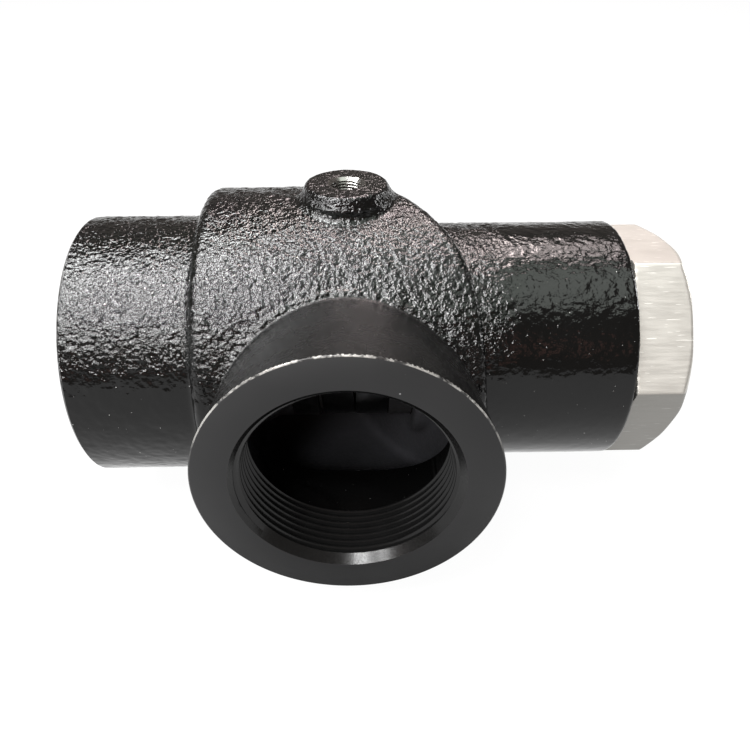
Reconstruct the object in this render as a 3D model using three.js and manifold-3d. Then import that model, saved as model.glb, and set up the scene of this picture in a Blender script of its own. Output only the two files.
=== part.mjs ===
// Minimum-pressure check valve with three threaded ports and a hexagonal spring cap.
// Millimetres, +Z up. Sizes are measured from the datum, the point where the run axis (X)
// crosses the outlet axis (-Y) and the gauge boss axis (+Z). The last lines move the datum
// so that the origin is at the bottom centre of the part.

import * as THREE from 'three';
import { mergeVertices } from 'three/addons/utils/BufferGeometryUtils.js';
import Module from 'manifold-3d';

const wasm = await Module();
wasm.setup();

// ---------------------------------------------------------------- driving dimensions

const GAP = 0.3; // clearance between pieces that touch on the real valve

const G2_MINOR_R = 28.35; // G 2 pipe thread, bored to its minor radius
const G2_LEAD_IN_R = 32;
const G1_8_MINOR_R = 4.28; // G 1/8 gauge thread
const G1_8_LEAD_IN_R = 5.35;

const DRUM = { outerR: 50.7, rightX: 39.2, wall: 6.7, edgeR: 4 };
const SHOULDER = { rootX: -46.3, topX: -40.1, rootR: 1.8, topR: 8 }; // drum to inlet port
const SLANT = { cornerY: -32.7, slope: -0.597, cornerR: 12 }; // oblique right wall of the drum
const INLET = { endX: -81.4, outerR: 42, threadEndX: -57, throatR: 26, throatEndX: -46, boreStartX: -38 };
const OUTLET = { faceY: 69.7, faceR: 41, taper: 0.137, threadEndY: 51.6, innerY: 30, innerR: 30.5 };
const CAP_PORT = { endX: 84.1, outerR: 38.9, threadR: 31 };
const BOSS = { topZ: 55, outerR: 12.4, holeFromZ: 36 };
const CHAMBER = { leftX: -33, rightX: 33, cornerR: 4 };

const GUIDE = { boreR: 25.3, boreStartX: -8, endX: 60, sleeveR: 31, sleeveStartX: 20 };
const NOZZLE = { outerR: 25, boreR: 20, ringBoreR: 21.8, ringStopX: -28.3, endX: -18.9 };

const SEAT = { faceX: -10.5, outerR: 25, boreR: 17.5, spigotR: 21.5, flangeX: -18.6, endX: -28 };
const SEAT_GROOVE = { fromX: -26.1, toX: -23.1, depthR: 19.6 };
const SEAT_O_RING = { centreX: -24.6, centreR: 20.68, sectionR: 0.92 };
const POPPET = { rimX: -9.1, backX: 1.2, outerR: 24.6, stemR: 5.7, stemEndX: 32.5 };
const SEAL = { faceX: -10.2, backX: -7.2, outerR: 23.5 };
const CLAMP_WASHER = { thickness: 1.8, boreR: 3.4, outerR: 14 };
const SCREW = { headR: 5, headLength: 5, shankR: 2.9, endX: 9, socketDepth: 3, socketFlats: 5 };
const PISTON = { startX: 1.5, endX: 44, outerR: 24.9, innerR: 19.4, floorX: 8.5, hubR: 11, hubEndX: 22.5 };
const BAND_GROOVE = { fromX: 12, toX: 20, depthR: 22.9 };
const LIP_GROOVE = { fromX: 30, toX: 35, depthR: 21.7 };
const BUSH = { outerR: 8.2, boreR: 6, startX: 6.6, endX: 19.2 };
const CHECK_SPRING_POCKET = { bottomX: 6.3, poppetX: -4, outerR: 10.2, innerR: 6.5 };
const STEM_CLIP = { fromX: 28.9, toX: 30.1, innerR: 4.9, outerR: 10.2, grooveR: 4.7, slotWidth: 3 };
const BUSH_CLIP = { fromX: 19.6, toX: 20.9, innerR: 7.2, outerR: 9.3, grooveR: 9.6, slotWidth: 3 };

const CAP = { headX: 84.4, endX: 101.6, acrossFlats: 67, plugX: 68, plugR: 30.7 };
const CAP_CHAMFER = { startX: 98.6, endR: 33.9 };
const CAP_GROOVE = { fromX: 80.2, toX: 83.4, depthR: 27.8 };
const CAP_O_RING = { centreX: 81.8, centreR: 29.35, sectionR: 1.35 };
const CAP_TURN = 36.6; // degrees that one facet's normal stands above the front
const POCKET = { bottomX: 92.5, radius: 20 };
const VENT_R = 2.5;
const SHIM = { thickness: 0.8, boreR: 9, outerR: 19.5 };
const SPRING_SEAT = { thickness: 2, spigotLength: 4, boreR: 6, spigotR: 13.2, outerR: 19.5 };

const MAIN_SPRING = { wireR: 2.1, meanR: 16, turns: 8, fromX: 8.8, toX: 87.7 };
const CHECK_SPRING = { wireR: 0.6, meanR: 8.4, turns: 4, fromX: -3.7, toX: 6.1 };

const ROUND = 56; // segments of the valve body's rounds
const INNER_ROUND = 40; // segments of the pieces inside it
const SMALL_ROUND = 24; // segments of screws and small holes

// ---------------------------------------------------------------- shape helpers

// Points of an outline given by corners [x, y, radius], where a radius makes a tangent arc.
function outline(corners) {
  const points = [];
  const last = corners.length - 1;
  corners.forEach(([x, y, radius = 0], i) => {
    const here = new THREE.Vector2(x, y);
    if (radius === 0) {
      points.push(here);
      return;
    }
    const before = new THREE.Vector2(...corners[i === 0 ? last : i - 1]).sub(here).normalize();
    const after = new THREE.Vector2(...corners[i === last ? 0 : i + 1]).sub(here).normalize();
    const half = Math.acos(THREE.MathUtils.clamp(before.dot(after), -1, 1)) / 2;
    const centre = before.clone().add(after).normalize().multiplyScalar(radius / Math.sin(half)).add(here);
    const start = before.multiplyScalar(radius / Math.tan(half)).add(here).sub(centre);
    const end = after.multiplyScalar(radius / Math.tan(half)).add(here).sub(centre);
    const turn = Math.atan2(start.cross(end), start.dot(end));
    const arcSteps = radius > 2 ? 5 : 2;
    for (let step = 0; step <= arcSteps; step += 1) {
      const arm = start.clone().rotateAround(new THREE.Vector2(), (turn * step) / arcSteps);
      points.push(arm.add(centre));
    }
  });
  return points;
}

// A closed geometry as a manifold solid, with its faces turned outwards.
function solid(geometry) {
  geometry.deleteAttribute('normal');
  geometry.deleteAttribute('uv');
  const merged = mergeVertices(geometry, 1e-4);
  const corner = merged.index.array;
  const triangles = [];
  for (let i = 0; i < corner.length; i += 3) {
    const [a, b, c] = [corner[i], corner[i + 1], corner[i + 2]];
    if (a !== b && b !== c && c !== a) triangles.push([a, b, c]);
  }
  const build = (faces) => new wasm.Manifold(new wasm.Mesh({
    numProp: 3,
    vertProperties: Float32Array.from(merged.attributes.position.array),
    triVerts: Uint32Array.from(faces.flat()),
  }));
  const shape = build(triangles);
  return shape.volume() > 0 ? shape : build(triangles.map(([a, b, c]) => [a, c, b]));
}

// A solid turned about the X axis from corners [x, r, radius].
function turned(corners, segments = INNER_ROUND) {
  const points = outline(corners).map((point) => new THREE.Vector2(point.y, point.x));
  const meetsAxis = points[0].x === 0 && points[points.length - 1].x === 0;
  if (!meetsAxis) points.push(points[0].clone());
  return solid(new THREE.LatheGeometry(points, segments).rotateZ(-Math.PI / 2));
}

// A ring of rectangular section about the X axis.
function ring(fromX, toX, innerR, outerR, edge = 0) {
  return turned([
    [fromX, innerR],
    [fromX, outerR, edge],
    [toX, outerR, edge],
    [toX, innerR],
  ]);
}

// A ring of round section about the X axis.
function oRing({ centreX, centreR, sectionR }) {
  const section = new THREE.EllipseCurve(centreR, centreX, sectionR, sectionR).getPoints(8);
  section[section.length - 1].copy(section[0]);
  return solid(new THREE.LatheGeometry(section, INNER_ROUND).rotateZ(-Math.PI / 2));
}

// A straight prism along X with six sides.
function hexagon(fromX, toX, acrossFlats) {
  const cornerR = acrossFlats / 2 / Math.cos(Math.PI / 6);
  const prism = new THREE.CylinderGeometry(cornerR, cornerR, toX - fromX, 6);
  return solid(prism.rotateZ(-Math.PI / 2).translate((fromX + toX) / 2, 0, 0));
}

// The centre line of a coil spring about the X axis, with a closed turn at each end.
class CoilPath extends THREE.Curve {
  constructor({ wireR, meanR, turns, fromX, toX }) {
    super();
    Object.assign(this, { wireR, meanR, turns, fromX, toX });
  }

  getPoint(t, target = new THREE.Vector3()) {
    const allTurns = this.turns + 2;
    const turn = t * allTurns;
    const closedPitch = this.wireR * 2.1;
    const freeLength = this.toX - this.fromX - 2 * this.wireR - 2 * closedPitch;
    const open = THREE.MathUtils.clamp(turn - 1, 0, this.turns);
    const closed = Math.min(turn, 1) + Math.max(turn - allTurns + 1, 0);
    const x = this.fromX + this.wireR + closed * closedPitch + (open * freeLength) / this.turns;
    const angle = turn * 2 * Math.PI;
    return target.set(x, this.meanR * Math.cos(angle), this.meanR * Math.sin(angle));
  }
}

function coilSpring(size, stepsPerTurn, sides) {
  const wire = new THREE.Shape();
  for (let side = 0; side < sides; side += 1) {
    const angle = (side * 2 * Math.PI) / sides;
    const point = [size.wireR * Math.cos(angle), size.wireR * Math.sin(angle)];
    if (side === 0) wire.moveTo(...point);
    else wire.lineTo(...point);
  }
  return solid(new THREE.ExtrudeGeometry(wire, {
    steps: Math.round((size.turns + 2) * stepsPerTurn),
    extrudePath: new CoilPath(size),
    bevelEnabled: false,
  }));
}

const alongOutlet = (shape) => shape.rotate([0, 0, -90]); // +X becomes -Y
const alongBoss = (shape) => shape.rotate([0, -90, 0]); // +X becomes +Z

// ---------------------------------------------------------------- valve body

// Everything right of the drum's slanted wall, as a tall prism.
function beyondSlant() {
  const reach = 70;
  const plan = outline([
    [DRUM.rightX, -reach],
    [DRUM.rightX, SLANT.cornerY, SLANT.cornerR],
    [DRUM.rightX + SLANT.slope * (reach - SLANT.cornerY), reach],
    [2 * reach, reach],
    [2 * reach, -reach],
  ]);
  const prism = new THREE.ExtrudeGeometry(new THREE.Shape(plan), { depth: 2 * reach, bevelEnabled: false });
  return solid(prism.translate(0, 0, -reach));
}

function bodyOutside(slant) {
  const drum = turned([
    [INLET.endX, 0],
    [INLET.endX, INLET.outerR, 1.2],
    [SHOULDER.rootX, INLET.outerR, SHOULDER.rootR],
    [SHOULDER.topX, DRUM.outerR, SHOULDER.topR],
    [DRUM.rightX, DRUM.outerR, DRUM.edgeR],
    [DRUM.rightX, 0],
  ], ROUND);
  const capPort = turned([
    [CHAMBER.leftX, 0],
    [CHAMBER.leftX, CAP_PORT.outerR],
    [CAP_PORT.endX, CAP_PORT.outerR, 0.8],
    [CAP_PORT.endX, 0],
  ], ROUND);
  const outletPort = turned([
    [0, 0],
    [0, OUTLET.faceR - OUTLET.taper * OUTLET.faceY],
    [OUTLET.faceY - 1, OUTLET.faceR],
    [OUTLET.faceY, OUTLET.faceR - 1],
    [OUTLET.faceY, 0],
  ], ROUND);
  const boss = turned([
    [DRUM.outerR - DRUM.wall, 0],
    [DRUM.outerR - DRUM.wall, BOSS.outerR],
    [BOSS.topZ, BOSS.outerR, 0.5],
    [BOSS.topZ, 0],
  ]);
  return drum.subtract(slant).add(capPort).add(alongOutlet(outletPort)).add(alongBoss(boss));
}

function chamber(slant) {
  const hollowR = DRUM.outerR - DRUM.wall;
  const wallAlongX = DRUM.wall * Math.hypot(1, SLANT.slope);
  const hollow = turned([
    [CHAMBER.leftX, 0],
    [CHAMBER.leftX, hollowR, CHAMBER.cornerR],
    [CHAMBER.rightX, hollowR, CHAMBER.cornerR],
    [CHAMBER.rightX, 0],
  ], ROUND);
  return hollow.subtract(slant.translate([-wallAlongX, 0, 0]));
}

// The walls that stand inside the chamber: the inlet nozzle and the piston's guide sleeve.
function innerWalls() {
  const nozzle = turned([
    [CHAMBER.leftX - 3, 0],
    [CHAMBER.leftX - 3, NOZZLE.outerR + 6],
    [NOZZLE.endX - 6, NOZZLE.outerR],
    [NOZZLE.endX, NOZZLE.outerR],
    [NOZZLE.endX, 0],
  ]);
  const sleeve = turned([
    [GUIDE.sleeveStartX, 0],
    [GUIDE.sleeveStartX, GUIDE.sleeveR, 1.5],
    [CHAMBER.rightX + 5, GUIDE.sleeveR],
    [CHAMBER.rightX + 5, 0],
  ]);
  return nozzle.add(sleeve);
}

function inletPassage() {
  const mouthX = INLET.endX - 1;
  return turned([
    [mouthX, 0],
    [mouthX, G2_LEAD_IN_R + 1],
    [INLET.endX + G2_LEAD_IN_R - G2_MINOR_R, G2_MINOR_R],
    [INLET.threadEndX, G2_MINOR_R],
    [INLET.threadEndX + 3, INLET.throatR],
    [INLET.throatEndX, INLET.throatR],
    [INLET.boreStartX, NOZZLE.boreR],
    [NOZZLE.ringStopX, NOZZLE.boreR],
    [NOZZLE.ringStopX, NOZZLE.ringBoreR],
    [NOZZLE.endX + 1, NOZZLE.ringBoreR],
    [NOZZLE.endX + 1, 0],
  ], ROUND);
}

function outletPassage() {
  return alongOutlet(turned([
    [OUTLET.innerY, 0],
    [OUTLET.innerY, OUTLET.innerR],
    [OUTLET.threadEndY - 2, OUTLET.innerR],
    [OUTLET.threadEndY, G2_MINOR_R],
    [OUTLET.faceY - (G2_LEAD_IN_R - G2_MINOR_R), G2_MINOR_R],
    [OUTLET.faceY + 1, G2_LEAD_IN_R + 1],
    [OUTLET.faceY + 1, 0],
  ], ROUND));
}

function springChamber() {
  return turned([
    [GUIDE.boreStartX, 0],
    [GUIDE.boreStartX, GUIDE.boreR],
    [GUIDE.endX, GUIDE.boreR],
    [GUIDE.endX + 5, CAP_PORT.threadR],
    [CAP_PORT.endX - 0.6, CAP_PORT.threadR],
    [CAP_PORT.endX + 1, CAP_PORT.threadR + 1.6],
    [CAP_PORT.endX + 1, 0],
  ], ROUND);
}

function gaugeHole() {
  return alongBoss(turned([
    [BOSS.holeFromZ, 0],
    [BOSS.holeFromZ, G1_8_MINOR_R],
    [BOSS.topZ - (G1_8_LEAD_IN_R - G1_8_MINOR_R), G1_8_MINOR_R],
    [BOSS.topZ + 1, G1_8_LEAD_IN_R + 1],
    [BOSS.topZ + 1, 0],
  ], SMALL_ROUND));
}

function valveBody() {
  const slant = beyondSlant();
  return bodyOutside(slant)
    .subtract(chamber(slant))
    .add(innerWalls())
    .subtract(inletPassage())
    .subtract(outletPassage())
    .subtract(springChamber())
    .subtract(gaugeHole());
}

// ---------------------------------------------------------------- seat and check poppet

function seatRing() {
  return turned([
    [SEAT.endX, SEAT.boreR],
    [SEAT.endX, SEAT.spigotR, 0.5],
    [SEAT_GROOVE.fromX, SEAT.spigotR],
    [SEAT_GROOVE.fromX, SEAT_GROOVE.depthR],
    [SEAT_GROOVE.toX, SEAT_GROOVE.depthR],
    [SEAT_GROOVE.toX, SEAT.spigotR],
    [SEAT.flangeX, SEAT.spigotR],
    [SEAT.flangeX, SEAT.outerR],
    [SEAT.faceX, SEAT.outerR, 0.8],
    [SEAT.faceX, SEAT.boreR + 0.8],
    [SEAT.faceX - 0.8, SEAT.boreR],
  ]);
}

function checkPoppet() {
  const recessX = SEAL.backX + GAP;
  const recessR = SEAL.outerR + GAP;
  const grooveFromX = STEM_CLIP.fromX - GAP;
  const grooveToX = STEM_CLIP.toX + GAP;
  return turned([
    [SCREW.endX + 1, 0],
    [SCREW.endX + 1, SCREW.shankR + GAP],
    [recessX, SCREW.shankR + GAP],
    [recessX, recessR],
    [POPPET.rimX, recessR],
    [POPPET.rimX, POPPET.outerR],
    [POPPET.backX, POPPET.outerR, 0.6],
    [POPPET.backX, CHECK_SPRING_POCKET.outerR],
    [CHECK_SPRING_POCKET.poppetX, CHECK_SPRING_POCKET.outerR],
    [CHECK_SPRING_POCKET.poppetX, POPPET.stemR],
    [grooveFromX, POPPET.stemR],
    [grooveFromX, STEM_CLIP.grooveR],
    [grooveToX, STEM_CLIP.grooveR],
    [grooveToX, POPPET.stemR],
    [POPPET.stemEndX, POPPET.stemR, 0.8],
    [POPPET.stemEndX, 0],
  ]);
}

function sealClampScrew() {
  const headEndX = SEAL.faceX - GAP - CLAMP_WASHER.thickness - GAP;
  const headStartX = headEndX - SCREW.headLength;
  const screw = turned([
    [headStartX, 0],
    [headStartX, SCREW.headR, 0.6],
    [headEndX, SCREW.headR],
    [headEndX, SCREW.shankR],
    [SCREW.endX - 0.8, SCREW.shankR],
    [SCREW.endX, SCREW.shankR - 0.8],
    [SCREW.endX, 0],
  ], SMALL_ROUND);
  return screw.subtract(hexagon(headStartX - 1, headStartX + SCREW.socketDepth, SCREW.socketFlats));
}

// An open retaining ring: a flat ring with a slot cut through one side.
function retainingRing({ fromX, toX, innerR, outerR, slotWidth }) {
  const slot = new THREE.BoxGeometry(toX - fromX + 2, slotWidth, outerR + 1);
  const cut = solid(slot.translate((fromX + toX) / 2, 0, (outerR + 1) / 2));
  return ring(fromX, toX, innerR, outerR).subtract(cut);
}

// ---------------------------------------------------------------- piston

function piston() {
  const hubBoreR = BUSH.outerR + GAP;
  const grooveFromX = BUSH_CLIP.fromX - GAP;
  const grooveToX = BUSH_CLIP.toX + GAP;
  return turned([
    [PISTON.startX, CHECK_SPRING_POCKET.outerR],
    [PISTON.startX, PISTON.outerR, 0.6],
    [BAND_GROOVE.fromX, PISTON.outerR],
    [BAND_GROOVE.fromX, BAND_GROOVE.depthR],
    [BAND_GROOVE.toX, BAND_GROOVE.depthR],
    [BAND_GROOVE.toX, PISTON.outerR],
    [LIP_GROOVE.fromX, PISTON.outerR],
    [LIP_GROOVE.fromX, LIP_GROOVE.depthR],
    [LIP_GROOVE.toX, LIP_GROOVE.depthR],
    [LIP_GROOVE.toX, PISTON.outerR],
    [PISTON.endX, PISTON.outerR, 0.8],
    [PISTON.endX, PISTON.innerR],
    [PISTON.floorX, PISTON.innerR, 1],
    [PISTON.floorX, PISTON.hubR],
    [PISTON.hubEndX, PISTON.hubR],
    [PISTON.hubEndX, hubBoreR],
    [grooveToX, hubBoreR],
    [grooveToX, BUSH_CLIP.grooveR],
    [grooveFromX, BUSH_CLIP.grooveR],
    [grooveFromX, hubBoreR],
    [CHECK_SPRING_POCKET.bottomX, hubBoreR],
    [CHECK_SPRING_POCKET.bottomX, CHECK_SPRING_POCKET.outerR],
  ]);
}

// A cup seal with a V between its two lips, open towards the chamber.
function pistonLipSeal() {
  const fromX = LIP_GROOVE.fromX + GAP;
  const toX = LIP_GROOVE.toX - GAP;
  const innerR = LIP_GROOVE.depthR + 0.2;
  const outerR = GUIDE.boreR - 0.15;
  const middleR = (innerR + outerR) / 2;
  return turned([
    [fromX, innerR],
    [fromX, middleR - 0.9],
    [fromX + 2.4, middleR],
    [fromX, middleR + 0.9],
    [fromX, outerR],
    [toX, outerR - 0.2],
    [toX, innerR],
  ]);
}

// ---------------------------------------------------------------- spring cap

function springCap() {
  const cornerR = CAP.acrossFlats / 2 / Math.cos(Math.PI / 6);
  const chamfer = turned([
    [CAP.headX, 0],
    [CAP.headX, cornerR + 0.2],
    [CAP_CHAMFER.startX, cornerR + 0.2],
    [CAP.endX, CAP_CHAMFER.endR],
    [CAP.endX, 0],
  ]);
  const head = hexagon(CAP.headX, CAP.endX, CAP.acrossFlats).rotate([CAP_TURN, 0, 0]).intersect(chamfer);
  const plug = turned([
    [CAP.plugX, 0],
    [CAP.plugX, CAP.plugR - 0.8],
    [CAP.plugX + 0.8, CAP.plugR],
    [CAP_GROOVE.fromX, CAP.plugR],
    [CAP_GROOVE.fromX, CAP_GROOVE.depthR],
    [CAP_GROOVE.toX, CAP_GROOVE.depthR],
    [CAP_GROOVE.toX, CAP.plugR],
    [CAP.headX + 2, CAP.plugR],
    [CAP.headX + 2, 0],
  ]);
  const pocket = turned([
    [CAP.plugX - 1, 0],
    [CAP.plugX - 1, POCKET.radius + 1],
    [CAP.plugX + 1, POCKET.radius],
    [POCKET.bottomX, POCKET.radius],
    [POCKET.bottomX, 0],
  ]);
  const vent = turned([
    [POCKET.bottomX - 1, 0],
    [POCKET.bottomX - 1, VENT_R],
    [CAP.endX - 0.5, VENT_R],
    [CAP.endX + 1, VENT_R + 1.5],
    [CAP.endX + 1, 0],
  ], SMALL_ROUND);
  return head.add(plug).subtract(pocket).subtract(vent);
}

function preloadShim(toX) {
  return ring(toX - SHIM.thickness, toX, SHIM.boreR, SHIM.outerR);
}

// A washer with a spigot that keeps the spring central.
function springSeatWasher(toX) {
  const faceX = toX - SPRING_SEAT.thickness;
  const spigotEndX = faceX - SPRING_SEAT.spigotLength;
  return turned([
    [spigotEndX, SPRING_SEAT.boreR],
    [spigotEndX, SPRING_SEAT.spigotR, 0.8],
    [faceX, SPRING_SEAT.spigotR],
    [faceX, SPRING_SEAT.outerR],
    [toX, SPRING_SEAT.outerR],
    [toX, SPRING_SEAT.boreR],
  ]);
}

// ---------------------------------------------------------------- nodes

const paint = { color: '#1b1d1f', roughness: 0.35, metalness: 0 };
const aluminium = { color: '#c9c6c0', roughness: 0.4, metalness: 1 };
const steel = { color: '#8d9094', roughness: 0.35, metalness: 1 };
const springSteel = { color: '#5f6266', roughness: 0.4, metalness: 1 };
const anodised = { color: '#3b3b3d', roughness: 0.4, metalness: 1 };
const rubber = { color: '#161616', roughness: 0.8, metalness: 0 };
const bandPlastic = { color: '#262627', roughness: 0.7, metalness: 0 };

function node(name, shape, look) {
  const mesh = shape.getMesh();
  const geometry = new THREE.BufferGeometry();
  geometry.setAttribute('position', new THREE.BufferAttribute(Float32Array.from(mesh.vertProperties), 3));
  geometry.setIndex(new THREE.BufferAttribute(Uint32Array.from(mesh.triVerts), 1));
  geometry.computeVertexNormals();
  const result = new THREE.Mesh(geometry, new THREE.MeshStandardMaterial({ ...look, flatShading: true }));
  result.name = name;
  return result;
}

const secondShimToX = POCKET.bottomX - GAP;
const firstShimToX = secondShimToX - SHIM.thickness - GAP;
const springSeatToX = firstShimToX - SHIM.thickness - GAP;

const housing = new THREE.Group();
housing.add(
  node('valve_body', valveBody(), paint),
  node('seat_ring', seatRing(), steel),
  node('seat_ring_o_ring', oRing(SEAT_O_RING), rubber),
  node('spring_cap', springCap(), aluminium),
  node('cap_o_ring', oRing(CAP_O_RING), rubber),
  node('spring_seat_washer', springSeatWasher(springSeatToX), steel),
  node('preload_shim_1', preloadShim(firstShimToX), steel),
  node('preload_shim_2', preloadShim(secondShimToX), steel),
  node('main_spring', coilSpring(MAIN_SPRING, 16, 8), springSteel),
);

const poppetGroup = new THREE.Group();
const washerToX = SEAL.faceX - GAP;
poppetGroup.add(
  node('check_poppet', checkPoppet(), anodised),
  node('poppet_seat_seal', ring(SEAL.faceX, SEAL.backX, CLAMP_WASHER.boreR, SEAL.outerR), rubber),
  node('seal_clamp_washer', ring(
    washerToX - CLAMP_WASHER.thickness,
    washerToX,
    CLAMP_WASHER.boreR,
    CLAMP_WASHER.outerR,
    0.5,
  ), steel),
  node('seal_clamp_screw', sealClampScrew(), steel),
  node('stem_circlip', retainingRing(STEM_CLIP), springSteel),
  node('check_spring', coilSpring(CHECK_SPRING, 14, 6), springSteel),
);

const pistonGroup = new THREE.Group();
pistonGroup.add(
  node('piston', piston(), anodised),
  node('piston_guide_band', retainingRing({
    fromX: BAND_GROOVE.fromX + GAP,
    toX: BAND_GROOVE.toX - GAP,
    innerR: BAND_GROOVE.depthR + 0.2,
    outerR: GUIDE.boreR - 0.15,
    slotWidth: 1.5,
  }), bandPlastic),
  node('piston_lip_seal', pistonLipSeal(), rubber),
  node('stem_bush', ring(BUSH.startX, BUSH.endX, BUSH.boreR, BUSH.outerR), bandPlastic),
  node('bush_circlip', retainingRing(BUSH_CLIP), springSteel),
);

// The origin goes to the bottom centre of the valve's bounding box.
const valve = new THREE.Group();
valve.add(housing, poppetGroup, pistonGroup);
valve.position.set(
  -(INLET.endX + CAP.endX) / 2,
  -(DRUM.outerR - OUTLET.faceY) / 2,
  DRUM.outerR,
);

const part = new THREE.Group();
part.add(valve);

export default part;
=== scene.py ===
"""Looks of the minimum-pressure check valve: a pebbled, black-painted casting with machined and threaded
ports, a bare aluminium spring cap and the works inside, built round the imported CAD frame.

Lengths are in millimetres from the datum, where the run axis (X) crosses the outlet axis (-Y) and the gauge
boss axis (+Z). to_row() turns them into metres in the row frame.
"""

import math

import bpy
import numpy as np
import openvdb
from mathutils import Matrix, Vector


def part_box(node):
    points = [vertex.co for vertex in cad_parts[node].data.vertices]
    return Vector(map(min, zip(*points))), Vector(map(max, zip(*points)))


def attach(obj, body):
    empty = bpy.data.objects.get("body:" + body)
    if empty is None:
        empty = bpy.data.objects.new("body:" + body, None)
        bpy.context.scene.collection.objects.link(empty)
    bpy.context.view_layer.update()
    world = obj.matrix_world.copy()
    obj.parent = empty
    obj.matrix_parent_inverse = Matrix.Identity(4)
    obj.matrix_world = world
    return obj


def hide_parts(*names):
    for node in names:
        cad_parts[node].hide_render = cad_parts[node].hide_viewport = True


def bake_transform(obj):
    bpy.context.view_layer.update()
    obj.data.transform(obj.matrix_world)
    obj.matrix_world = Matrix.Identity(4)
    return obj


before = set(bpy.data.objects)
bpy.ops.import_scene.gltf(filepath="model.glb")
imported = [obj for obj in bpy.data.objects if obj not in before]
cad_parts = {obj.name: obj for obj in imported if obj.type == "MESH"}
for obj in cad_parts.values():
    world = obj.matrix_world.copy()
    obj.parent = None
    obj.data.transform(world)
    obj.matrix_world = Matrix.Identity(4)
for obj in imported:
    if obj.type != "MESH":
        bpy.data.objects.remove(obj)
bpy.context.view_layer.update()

# ------------------------------------------------------------------ sizes

DRUM_R, DRUM_LEFT, DRUM_LEFT_ROUND = 50.7, -43.4, 4.0
DRUM_RIGHT, DRUM_EDGE = 39.2, 3.5
SLANT_AT, SLANT_SLOPE, SLANT_CORNER = 19.68, 0.597, 12.0  # right wall: x = SLANT_AT - slope * y
INLET_R, INLET_X = 42.0, -81.4
CAP_PORT_R, CAP_PORT_X = 38.9, 84.1
OUTLET_R, OUTLET_Y, OUTLET_TAPER = 41.0, 69.7, 0.137
BOSS_R, BOSS_Z = 12.2, 55.0
WALL = 6.7
CHAMBER_X = 33.0
NOZZLE_R, NOZZLE_END = 25.0, -18.9
SLEEVE_R, SLEEVE_START, GUIDE_R = 31.0, 20.0, 25.3
CAP_BORE_R, CAP_BORE_START = 31.0, 65
GUIDE_START, GUIDE_END = -8, 60
INLET_THROAT_R, OUTLET_THROAT_R, SEAT_THROAT_R = 26, 30.5, 20
SEAT_BORE_R, SEAT_BORE_START, SEAT_BORE_END = 21.8, -28.3, -17.9
AIR_R = 60  # how far the facing tools reach sideways, clear of the casting

G2_MINOR, G2_MAJOR, G2_PITCH = 28.35, 29.8, 2.309
G2_LEAD_IN = 31.0
INLET_THREAD_END, OUTLET_THREAD_END = -57.0, 51.6
THREAD_RELIEF_R = 30.4
G1_8_MINOR, G1_8_MAJOR, G1_8_PITCH = 4.28, 4.86, 0.907
G1_8_LEAD_IN = 5.35

CAP_HEAD, CAP_END, CAP_FLATS = 84.4, 101.6, 67.0
CAP_CHAMFER_START, CAP_CHAMFER_R = 98.6, 33.9
CAP_TURN = math.radians(36.6)
CAP_PLUG_R, CAP_PLUG_X = 30.7, 68.0
CAP_GROOVE_R, CAP_GROOVE_START, CAP_GROOVE_END = 27.8, 80.2, 83.4
POCKET_R, POCKET_X, VENT_R = 20.0, 92.5, 2.5

SEAT_HOLE_R, SEAT_SHANK_R, SEAT_GROOVE_R, SEAT_RIM_R = 17.5, 21.5, 19.6, 25
POPPET_R, SEAL_POCKET_R, HUB_R, STEM_R, STEM_GROOVE_R, SCREW_R = 24.6, 23.8, 10.2, 5.7, 4.7, 3.2
SEAL_HOLE_R = 3.4
PISTON_R, BAND_GROOVE_R, LIP_GROOVE_R, PISTON_BORE_R = 24.9, 22.9, 21.7, 19.4
PISTON_HUB_R, BUSH_R, BUSH_GROOVE_R = 11, 8.5, 9.6

VOXEL = 0.55
CAP_VOXEL, CHAMBER_VOXEL = 0.5, 1.2
LUMP_HEIGHT, WAVE_HEIGHT, LIP_HEIGHT, SURFACE_SET_BACK = 0.22, 0.10, 0.34, 0.10  # the cast surface's bumps

CAMERA_PLACE, LENS = (4.96, -197.01, 126.79), 32.92
FLOOR_Z, FLOOR_HALF = -DRUM_R - 0.05, 4000
LAMP_Z = 900

body_low, body_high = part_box("valve_body")
DATUM = Vector((body_low.x - INLET_X / 1000, body_high.y - DRUM_R / 1000, body_low.z + DRUM_R / 1000))


def to_row(points):
    """Row-frame metres of points given in millimetres from the datum."""
    return np.asarray(points, float) / 1000 + np.array(DATUM)


# ------------------------------------------------------------------ solid shapes as distances

def bar(along, around, low, high, radius, rounding=0.0):
    """Distance to a round bar with rounded rims."""
    a = np.abs(along - (high + low) / 2) - (high - low) / 2 + rounding
    b = around - radius + rounding
    inside = np.minimum(np.maximum(a, b), 0)
    return inside + np.hypot(np.maximum(a, 0), np.maximum(b, 0)) - rounding


def weld(a, b, fillet):
    """Union of two solids with a round fillet between them."""
    u = np.maximum(fillet - a, 0)
    v = np.maximum(fillet - b, 0)
    return np.maximum(fillet, np.minimum(a, b)) - np.hypot(u, v)


def trim(a, b, rounding):
    """Intersection of two solids with a rounded edge."""
    u = np.maximum(rounding + a, 0)
    v = np.maximum(rounding + b, 0)
    return np.minimum(-rounding, np.maximum(a, b)) + np.hypot(u, v)


def right_wall(x, y, inset=0.0):
    """Distance beyond the drum's right wall: a short square part in front, then a long slant."""
    square = x - DRUM_RIGHT + inset
    slant = (x - SLANT_AT + SLANT_SLOPE * y) / math.hypot(1, SLANT_SLOPE) + inset
    return trim(square, slant, SLANT_CORNER)


def outlet_side(x, y, z):
    """Distance to the outlet port's tapered outside."""
    radius = OUTLET_R - OUTLET_TAPER * (OUTLET_Y + y)
    return (np.hypot(x, z) - radius) / math.hypot(1, OUTLET_TAPER)


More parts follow.
